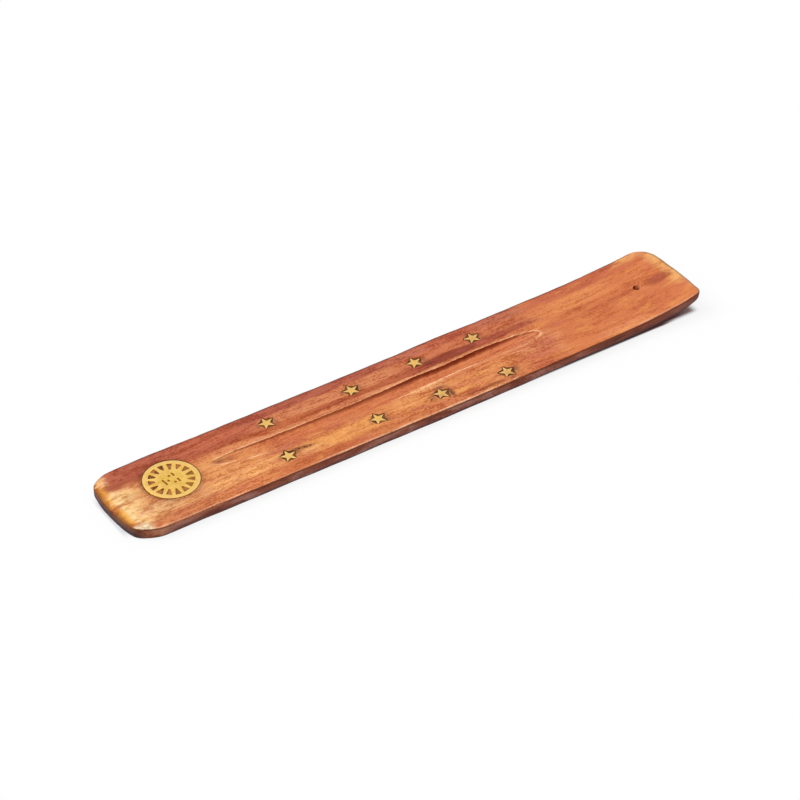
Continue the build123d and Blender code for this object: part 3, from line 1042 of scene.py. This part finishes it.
# %% Fine grain and relief
sun_part = 1 - x.step(-120, -102)
calm = 1 - 0.45 * raised - 0.6 * sun_part - 0.2 * x.step(117, 121)
cloudy = 0.4 + 0.9 * (1 - x.step(-112, -98)) + 0.9 * x.band(0, 46, 6)
cloudy = cloudy - 0.1 * raised - 0.2 * x.band(-52, -8, 6)
spots = 1 - 0.4 * raised + 0.8 * sun_part
lively = 1.5 - 0.5 * light_part + 0.3 * raised + 0.25 * sun_part
lively = lively + 0.45 * x.band(2, 46, 6) * (1 - y.step(-4, -2))
lively = lively + 0.15 * x.band(-100, -60, 6) - 0.15 * x.band(-52, -6, 6)
fine = fibre * 1.5 + grit * 1.6 + hair * 0.4 + (figure - 0.5) * 1.1
uneven = tone * (1 + 0.1 * sun_part) + clouding * cloudy + mottling * spots + fine * calm
uneven = uneven * lively
dark_grain = (uneven * -2.1).limited()
pale_grain = (uneven * 2.4).limited() * (0.65 + 0.35 * light_part) * (1 - 0.4 * raised)
surface = surface.mix(surface.vector("MULTIPLY", (0.68, 0.46, 0.34)), dark_grain)
surface = surface.mix(surface.vector("MULTIPLY", (1.12, 1.27, 1.36)), pale_grain)
surface = surface.coats(((96, 44, 24), pore * calm * 0.2))

height = fibre * 0.8 + hair * 0.4 - pore * 0.5 + mottling * 0.5 + grit * 0.4
fill(shader, {
    "Base Color": surface,
    "Roughness": 0.52 + mottling * 0.25 + fibre * 0.15,
    "Specular IOR Level": 0.15,
    "Normal": (height * calm).bump(0.3, 0.06),
})
print("Wood nodes:", len(wood.node_tree.nodes))

# %% [markdown]
# ## Raw cuts
# Inside the pockets and the drilled hole the cutter left unstained fibres that have since gone brown with
# resin and smoke. The hole is a deep red-brown below, painted shade for its depth, and the side of its
# mouth that faces the lamp is painted pale as a painted highlight.

# %% Raw wood in the cuts
raw_wood, shader, place = new_material("smoked_raw_wood")
streaks = place.speckle(3, 0.4, 3, 0.6)
bore_x, bore_y, bore_z = (place.axis(letter) for letter in "XYZ")
across_bore = (bore_x - hole_x) * 0.83 - (bore_y - hole_y) * 0.56
mouth = bore_z.step(4.9, 5.6) * bore_x.step(hole_x - 3, hole_x - 2.5)
raw = place.plain(paint(96, 48, 20)).coats(
    ((190, 110, 58), streaks),
    # Painted shade: the hole's wall painted deep red-brown.
    ((140, 46, 6), bore_x.band(hole_x - 3, hole_x + 3, 0.5) * 0.95),
    # Painted highlight: the side of the hole's mouth that faces the lamp.
    ((255, 176, 122), across_bore.step(-0.7, 0.0) * mouth * 0.95),
)
fill(shader, {"Base Color": raw, "Roughness": streaks * 0.2 + 0.6, "Specular IOR Level": 0.2})
print("Materials so far:", [m.name for m in bpy.data.materials])

# %% [markdown]
# ## Cutting the pockets
# A star pocket is pecked out with a small chisel, larger than the star and never quite its shape. We
# draw each pocket as the star's own outline with wider notches, add a waver to its radius, and sweep it
# down as a cutter. One exact boolean takes all cutters out of the tray at once.

# %% Star outlines
def star_outline(tip, notch, turn, softenings):
    """A five-pointed star, counter-clockwise, one point along +Y and turned by some degrees.

    Nine places on each straight edge between ten corners, then rounded by averaging neighbours.
    """
    angle = pi / 2 + radians(turn) + np.arange(11) * pi / 5
    radius = np.where(np.arange(11) % 2 == 0, tip, notch)
    corner = np.stack((radius * np.cos(angle), radius * np.sin(angle)), 1)
    step = np.arange(90) / 9
    i = step.astype(int)
    t = (step - i)[:, None]
    path = corner[i] * (1 - t) + corner[i + 1] * t
    for _ in range(softenings):
        path = (np.roll(path, 1, 0) + 2 * path + np.roll(path, -1, 0)) / 4
    return path


def waver(path, seed, amount, bulges=()):
    """A path whose radius wavers: cosines of two to eight turns, and a bell at each (degrees, height)."""
    random = np.random.default_rng(seed)
    radius = np.linalg.norm(path, axis=1)
    angle = np.arctan2(path[:, 1], path[:, 0])
    extra = np.zeros(len(path))
    for turns in range(2, 9):
        extra += np.cos(turns * angle + random.uniform(0, 2 * pi)) * amount / turns**0.5
    for at, rise in bulges:
        away = (angle - radians(at) + pi) % (2 * pi) - pi
        extra += rise * bell(away, 0.4)
    return path * (1 + extra / radius)[:, None]


print("Star outline points:", len(star_outline(star_tip, star_notch, 0, 2)))

# %% Closed shells
def level(path, z):
    """A flat path set at a height, or at one height for each point."""
    return np.concatenate((path, np.broadcast_to(z, len(path))[:, None]), 1)


def turned(path, angle):
    """A path turned about the origin."""
    return path @ np.array(((cos(angle), sin(angle)), (-sin(angle), cos(angle))))


def seat(x, y):
    """The place of an inlay: origin on the upper face, Z along the face's normal."""
    lean = np.arctan(upper_face(x + 0.5) - upper_face(x - 0.5))
    return Matrix.Translation((x, y, float(upper_face(x)))) @ Matrix.Rotation(-float(lean), 4, "Y")


def lofted(rings, matrix):
    """Points and faces of a closed shell, carried to its seat by a matrix.

    Its walls run through level rings from the lowest up, and a fan closes each end.
    """
    count = len(rings[0])
    points = np.concatenate([*rings, np.array([rings[0].mean(0), rings[-1].mean(0)])])
    index = numbered(0, (len(rings), count))
    wrapped = np.concatenate((index, index[:, :1]), 1)
    low, high = len(points) - 2, len(points) - 1
    floor_fan = np.stack((np.full(count, low), wrapped[0, 1:], wrapped[0, :-1]), 1)
    roof_fan = np.stack((np.full(count, high), wrapped[-1, :-1], wrapped[-1, 1:]), 1)
    matrix = np.array(matrix)
    return points @ matrix[:3, :3].T + matrix[:3, 3], [quads(wrapped)[:, ::-1], floor_fan, roof_fan]


print("Height of the sun's seat:", round(seat(sun_x, sun_y).translation.z, 2))

# %% Pocket outlines
bulges = {
    "left_1": [(20, 0.4), (-50, 0.3)], "left_2": [(22, 0.5), (160, 0.4), (-15, 0.3)],
    "left_3": [(15, 0.45), (-20, 0.3)], "left_4": [(10, 0.4), (165, 0.3)],
    "right_1": [(28, 0.9), (-20, 0.3), (190, 0.3)], "right_2": [(10, 0.5), (-40, 0.5), (200, 0.3)],
    "right_3": [(0, 0.6), (-50, 0.6), (170, 0.3)], "right_4": [(-5, 0.6), (-55, 0.5), (165, 0.4)],
}
inlays = {}
for row, side, name in ((left_stars, 1, "left"), (right_stars, -1, "right")):
    for number, (at, inset, turn) in enumerate(row, 1):
        key = f"{name}_{number}"
        wide = star_outline(star_tip + star_tip_gap, star_notch + star_notch_gap, turn, 6)
        inlays[key] = {
            "seat": seat(at - half_length, side * (half_width - inset)),
            "star": star_outline(star_tip, star_notch, turn, 2),
            "pocket": waver(wide, number + 10 * (side + 1), 0.09, bulges[key]),
        }

turn = np.linspace(0, 2 * pi, 240, endpoint=False)
circle = np.stack((np.cos(turn), np.sin(turn)), 1)
sun_pocket = waver(circle * (sun_radius + sun_gap), 77, 0.05, [(185, 0.25), (220, 0.35), (255, 0.2)])
sun_seat = seat(sun_x, sun_y)
print("Pockets:", [*inlays], "and the sun")

# %% [markdown]
# The cutters reach above the face, so that no two surfaces lie in one plane. The drill leans with the stick
# and its mouth has flared where sticks were pushed in. A chisel that slipped has torn out a few splinters,
# which are shallow pointed ellipses.

# %% Cutters
cutter_rise, flare_from, flare_share = 1.5, 1.6, 0.3
torn = [(-52.4, -8.2, 0.95, 0.50, 0.6, -0.2), (-50.1, -8.75, 0.95, 0.55, 0.6, -0.35),
        (-48.1, -8.9, 0.7, 0.45, 0.5, 0.1), (4.0, -11.4, 0.8, 0.35, 0.3, 0.4)]


def gouge(x, y, long, wide, depth, turn):
    """A torn splinter: a pointed ellipse that narrows to a point below the face."""
    path = turned(circle[::8] * (long, wide), turn)
    steps = ((0.15, -depth), (0.6, -0.6 * depth), (1.0, 0.0), (1.1, 0.8))
    return lofted([level(path * share, z) for share, z in steps], seat(x, y))


pockets = [(item["pocket"], item["seat"]) for item in inlays.values()] + [(sun_pocket, sun_seat)]
cutters = [lofted([level(path, -pocket_depth), level(path, cutter_rise)], at) for path, at in pockets]
drill = circle[::5] * hole_radius
flare = drill * (1 + flare_share * np.clip(np.cos(turn[::5] + 0.4), 0, 1) ** 2)[:, None]
drill_rings = [level(drill * 0.02, -hole_depth - drill_point), level(drill, -hole_depth),
               level(drill, -flare_from), level(flare, -0.1), level(flare * 1.05, 2 * cutter_rise)]
hole_seat = Matrix.Translation((hole_x, hole_y, float(upper_face(hole_x))))
cutters.append(lofted(drill_rings, hole_seat @ Matrix.Rotation(-hole_lean, 4, "Y")))
cutters += [gouge(*splinter) for splinter in torn]

cutter_points, cutter_faces, first = [], [], 0
for points, parts in cutters:
    cutter_points.append(points)
    cutter_faces += [part + first for part in parts]
    first += len(points)
print("Cutters:", len(cutters))

# %% From arrays to pieces
def mesh_object(name, points, polygons, material):
    """A mesh piece at the origin from points in millimetres and lists of faces."""
    mesh = bpy.data.meshes.new(name)
    mesh.from_pydata((points * MM).tolist(), [], [face for part in polygons for face in part.tolist()])
    mesh.materials.append(material)
    return add_object(name, mesh)


def store(mesh, name, values):
    """Keep one number for each point of a mesh, under a name that a material can read."""
    mesh.attributes.new(name, "FLOAT", "POINT").data.foreach_set("value", values.astype(np.float32))


def finish_piece(piece, node, crease=35):
    """Shade a piece smoothly with its creases kept, and put it in the frame in place of a node."""
    piece.data.polygons.foreach_set("use_smooth", np.ones(len(piece.data.polygons), bool))
    piece.data.set_sharp_from_angle(angle=radians(crease))
    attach(piece, "root")
    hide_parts(node)


def as_mesh(carrier):
    """An object with its modifiers or its curve turned into a mesh; the object itself is removed."""
    mesh = bpy.data.meshes.new_from_object(carrier.evaluated_get(bpy.context.evaluated_depsgraph_get()))
    bpy.data.objects.remove(carrier)
    return mesh


print("Pieces to make:", 2 * len(inlays) + 3)

# %% Tray with its cuts
tool = mesh_object("pocket_cutters", np.concatenate(cutter_points), cutter_faces, wood)
tool.data.materials.append(raw_wood)
tool.data.polygons.foreach_set("material_index", np.ones(len(tool.data.polygons), np.int32))

blank = mesh_object("blank_tray", places, faces + triangles, wood)
blank.data.materials.append(raw_wood)
for name, values in marks.items():
    store(blank.data, name, values)
cut = blank.modifiers.new("pockets", "BOOLEAN")
cut.operation = "DIFFERENCE"
cut.solver = "EXACT"
cut.object = tool
skin = as_mesh(blank)
skin.name = "carved_tray"
bpy.data.objects.remove(tool)
tray = add_object("carved_tray", skin)
finish_piece(tray, "wooden_tray", 38)
print("Tray:", len(skin.polygons), "faces, marks kept:", [a.name for a in skin.attributes if a.name in marks])

# %% [markdown]
# ## Brass
# The ornaments were sawn or stamped from thin brass sheet and pressed flush. The middle is a deeper yellow
# and the tips are paler, partly from handling and partly as a painted highlight, while the edges and the
# scratches hold a little brown tarnish, and some stars have gone dull. Brass is a metal, so its colour is the
# colour of its reflections. Marks on the points say how far out a point lies, and how dull and how pale its
# piece is.

# %% Worn brass
brass, shader, place = new_material("worn_brass")
haze = place.speckle(2.6, 2.6, 4, 0.6)
scratch = place.speckle(5, 0.12, 2, 0.6, shift=3.0)
cross = place.speckle(0.14, 4, 2, 0.6, shift=9.0)
fleck = place.speckle(0.5, 0.5, 2, 0.5, shift=15.0).step(0.58, 0.72)
reach = place.mark("reach")
metal = place.plain(paint(246, 201, 114)).coats(
    ((226, 180, 82), haze.step(0.35, 0.65)),
    ((224, 182, 74), (1 - reach.step(0.25, 0.6)) * 0.6),
    # Paler tips: partly wear and partly a painted highlight.
    ((255, 224, 166), reach.step(0.7, 1.0) * haze.step(0.35, 0.55) * 0.25),
    ((180, 122, 74), place.mark("dull") * haze.step(0.3, 0.6)),
    ((244, 194, 154), place.mark("pale") * 0.22),
    ((176, 122, 50), fleck * 0.5),
    ((255, 228, 160), scratch.step(0.58, 0.7) * 0.5),
)
dents = (scratch - 0.5) * 0.5 + (cross - 0.5) * 0.5 + (haze - 0.5)
fill(shader, {
    "Base Color": metal,
    "Metallic": 1.0,
    "Roughness": 0.36 + (haze - 0.5) * 0.3 + fleck * 0.15,
    "Normal": dents.bump(0.5, 0.03),
})
print("Brass nodes:", len(brass.node_tree.nodes))

# %% [markdown]
# ## Dark filler
# The pockets were filled with resin and wood dust, and the brass was pressed into it while it was soft.
# It has shrunk a little below the brass, and is olive-brown with paler grains of dust. Round the stars it
# is darker than in the sun's windows, and the windows towards the right and near side of the sun are painted
# paler as painted light.

# %% Filler
filler, shader, place = new_material("resin_and_dust")
dust = place.speckle(0.6, 0.6, 3, 0.6)
lump = place.speckle(2.4, 2.4, 2, 0.5, shift=7.0)
side_x, side_y = place.axis("X") - sun_x, place.axis("Y") - sun_y
lit_side = (side_x * 0.8 - side_y * 0.6).band(0.0, 13.0, 4.0) * side_y.band(-11, 11, 1.0)
from_middle = (side_x * side_x + side_y * side_y) ** 0.5
resin = place.plain(paint(104, 60, 25)).coats(
    ((186, 121, 65), lump.step(0.42, 0.62)),
    ((196, 138, 80), dust.step(0.55, 0.72) * 0.5),
    # Painted light: the windows towards the right and near side of the sun are painted paler, as if lit.
    ((166, 114, 50), lit_side * 0.7),
    ((140, 92, 30), from_middle.band(10.4, 12.0, 0.15) * 0.75),
    ((78, 42, 20), from_middle.step(14, 16) * 0.6),
)
fill(shader, {
    "Base Color": resin,
    "Roughness": 0.75 + (lump - 0.5) * 0.3,
    "Specular IOR Level": 0.15,
    "Normal": (dust + lump).bump(0.7, 0.08),
})
print("Filler nodes:", len(filler.node_tree.nodes))

# %% [markdown]
# ## Stars and their beds
# A stamped star has a slightly rounded edge and an almost flat top. Its bed is the same lofted shell with
# the pocket's outline, lower than the brass and lumpy.

# %% Stars
star_edge_round, star_mean_radius, star_dome = 0.15, 2.4, 0.05
bed_fit, bed_floor, bed_shoulder = 0.999, 0.01, 0.45
star_bed_sink, sun_bed_sink = 0.25, 0.32
wall_climb, climb_from, climb_share = 0.12, 0.93, 0.07


def star_shell(path, seed, matrix):
    """A star plate: under face, wall, a quarter-round edge and a faintly domed top."""
    low = -brass_thickness
    rings = [level(path * 0.5, low), level(path, low), level(path, -star_edge_round)]
    for turn in (pi / 6, pi / 3, pi / 2):
        inset = star_edge_round * (1 - cos(turn)) / star_mean_radius
        rings.append(level(path * (1 - inset), star_edge_round * (sin(turn) - 1)))
    for share in (0.85, 0.65, 0.4, 0.2):
        inner = path * share
        dome = star_dome * (1 - share**2) + ripple(*inner.T, [(3.1, 2.3), (5.3, 4.1)], 0.03, seed)
        rings.append(level(inner, dome))
    return lofted(rings, matrix)


def bed_shell(path, sink, seed, shares, matrix):
    """A filler bed: flat below, its top sunk and lumpy, a little proud of that at the pocket's wall."""
    outer, low = path * bed_fit, bed_floor - pocket_depth
    rings = [level(path * 0.5, low), level(outer, low), level(outer, -bed_shoulder)]
    for share in shares:
        inner = path * share
        lumps = ripple(*inner.T, [(1.7, 1.3), (3.1, 2.3), (0.9, 1.1)], 0.10, seed)
        climb = wall_climb * np.clip((share - climb_from) / climb_share, 0, 1)
        rings.append(level(inner, -sink + lumps + climb))
    return lofted(rings, matrix)


def mark_brass(mesh, middle, radius, dull, pale):
    """Store how far out each point lies, 1 at the ornament's tips, and how dull and pale the piece is."""
    flat = np.empty(3 * len(mesh.vertices))
    mesh.vertices.foreach_get("co", flat)
    away = np.linalg.norm(flat.reshape(-1, 3) / MM - np.array(middle), axis=1) / radius
    store(mesh, "reach", away)
    store(mesh, "dull", np.full(len(away), dull))
    store(mesh, "pale", np.full(len(away), pale))


dullness = {"right_3": 0.6, "right_4": 0.45, "left_4": 0.35, "left_2": 0.1}
star_bed_shares = (0.998, 0.97, 0.93, 0.85, 0.7, 0.5, 0.25)
for number, (key, item) in enumerate(inlays.items()):
    side, order = key.split("_")
    star = mesh_object(f"brass_star_{key}", *star_shell(item["star"], 100 + number, item["seat"]), brass)
    mark_brass(star.data, item["seat"].translation, star_tip, dullness.get(key, 0.0), 1.0)
    finish_piece(star, f"{side}_star_{order}")
    shell = bed_shell(item["pocket"], star_bed_sink, 200 + number, star_bed_shares, item["seat"])
    bed = mesh_object(f"star_bed_{key}", *shell, filler)
    finish_piece(bed, f"{side}_star_filler_{order}")
print("Stars and beds:", 2 * len(inlays))

# %% [markdown]
# ## The sun
# The sun is one disc pierced by fifteen windows that leave tapering rays, and by slits for a face. Each
# window was sawn by hand, so no two are quite alike. A filled flat curve with holes gives exactly this:
# every loop inside the rim becomes a window, and the curve's bevel rounds all edges. It is turned into a
# mesh before it is placed.

# %% Loops of the sun
slit_width, eye_radius = 0.75, 0.5
sawing = np.random.default_rng(61).uniform(-1, 1, (ray_count, 3))


def window_loop(index):
    """A window: two straight sides from its narrow root, and an arc under the rim, each sawn by hand."""
    wider, higher, deeper = sawing[index]
    half = pi / ray_count - ray_tip_width / (2 * window_outer) * (1 + 0.3 * wider)
    arc = np.linspace(-half, half, 9)
    outer = np.stack((np.cos(arc), np.sin(arc)), 1) * (window_outer + 0.15 * higher)
    inner = window_inner + 0.3 * deeper
    root = np.array(((inner, window_root_width / 2), (inner, -window_root_width / 2)))
    return turned(np.concatenate((outer, root)), pi / ray_count * (2 * index + 1))


def slot_loop(up, side, length):
    """A slit across the face: two half circles joined by straight sides."""
    bow = np.linspace(-pi / 2, pi / 2, 7)
    cap = np.stack((np.sin(bow), np.cos(bow)), 1) * slit_width / 2
    ahead = cap + (0, (length - slit_width) / 2)
    return np.concatenate((ahead, -ahead)) + (up, side)


mouth_slit, nose_slit = slot_loop(-2.85, 0, 3.4), slot_loop(-1.2, 0, 1.2)
loops = [circle * sun_radius] + [window_loop(i) for i in range(ray_count)] + [mouth_slit, nose_slit]
for side in (-1, 1):
    eye = circle[::12] * eye_radius + (0.4, side * 2.1)
    brow_slit = slot_loop(2.05, side * 1.9, 2.2)
    loops += [eye, brow_slit]
print("Loops of the sun:", len(loops))

# %% Sun disc and its bed
edge_round = 0.12
drawing = bpy.data.curves.new("sun_drawing", "CURVE")
drawing.dimensions = "2D"
drawing.fill_mode = "BOTH"
drawing.extrude = brass_thickness / 2 - edge_round
drawing.bevel_depth = edge_round
drawing.bevel_resolution = 1
drawing.offset = -edge_round
for path in loops:
    spline = drawing.splines.new("POLY")
    spline.points.add(len(path) - 1)
    flat = np.concatenate((level(turned(path, sun_turn), 0.0), np.ones((len(path), 1))), 1)
    spline.points.foreach_set("co", flat.ravel())
    spline.use_cyclic_u = True
disc = as_mesh(add_object("sun_drawing", drawing))
disc.transform(Matrix.Translation((0, 0, -brass_thickness / 2)))
disc.transform(sun_seat)
disc.transform(Matrix.Scale(MM, 4))
shell = bmesh.new()
shell.from_mesh(disc)
bmesh.ops.remove_doubles(shell, verts=shell.verts, dist=0.0005 * MM)
bmesh.ops.recalc_face_normals(shell, faces=shell.faces)
shell.to_mesh(disc)
shell.free()
disc.materials.clear()
disc.materials.append(brass)
mark_brass(disc, sun_seat.translation, sun_radius, 0.0, 0.0)
sun = add_object("pierced_sun", disc)
finish_piece(sun, "sun_disc")

sun_bed_shares = (0.998, 0.985, 0.965, 0.94, *np.linspace(0.9, 0.06, 28))
shell = bed_shell(sun_pocket, sun_bed_sink, 300, sun_bed_shares, sun_seat)
sun_bed = mesh_object("sun_bed", *shell, filler)
finish_piece(sun_bed, "sun_filler")
print("Sun disc faces:", len(disc.polygons))
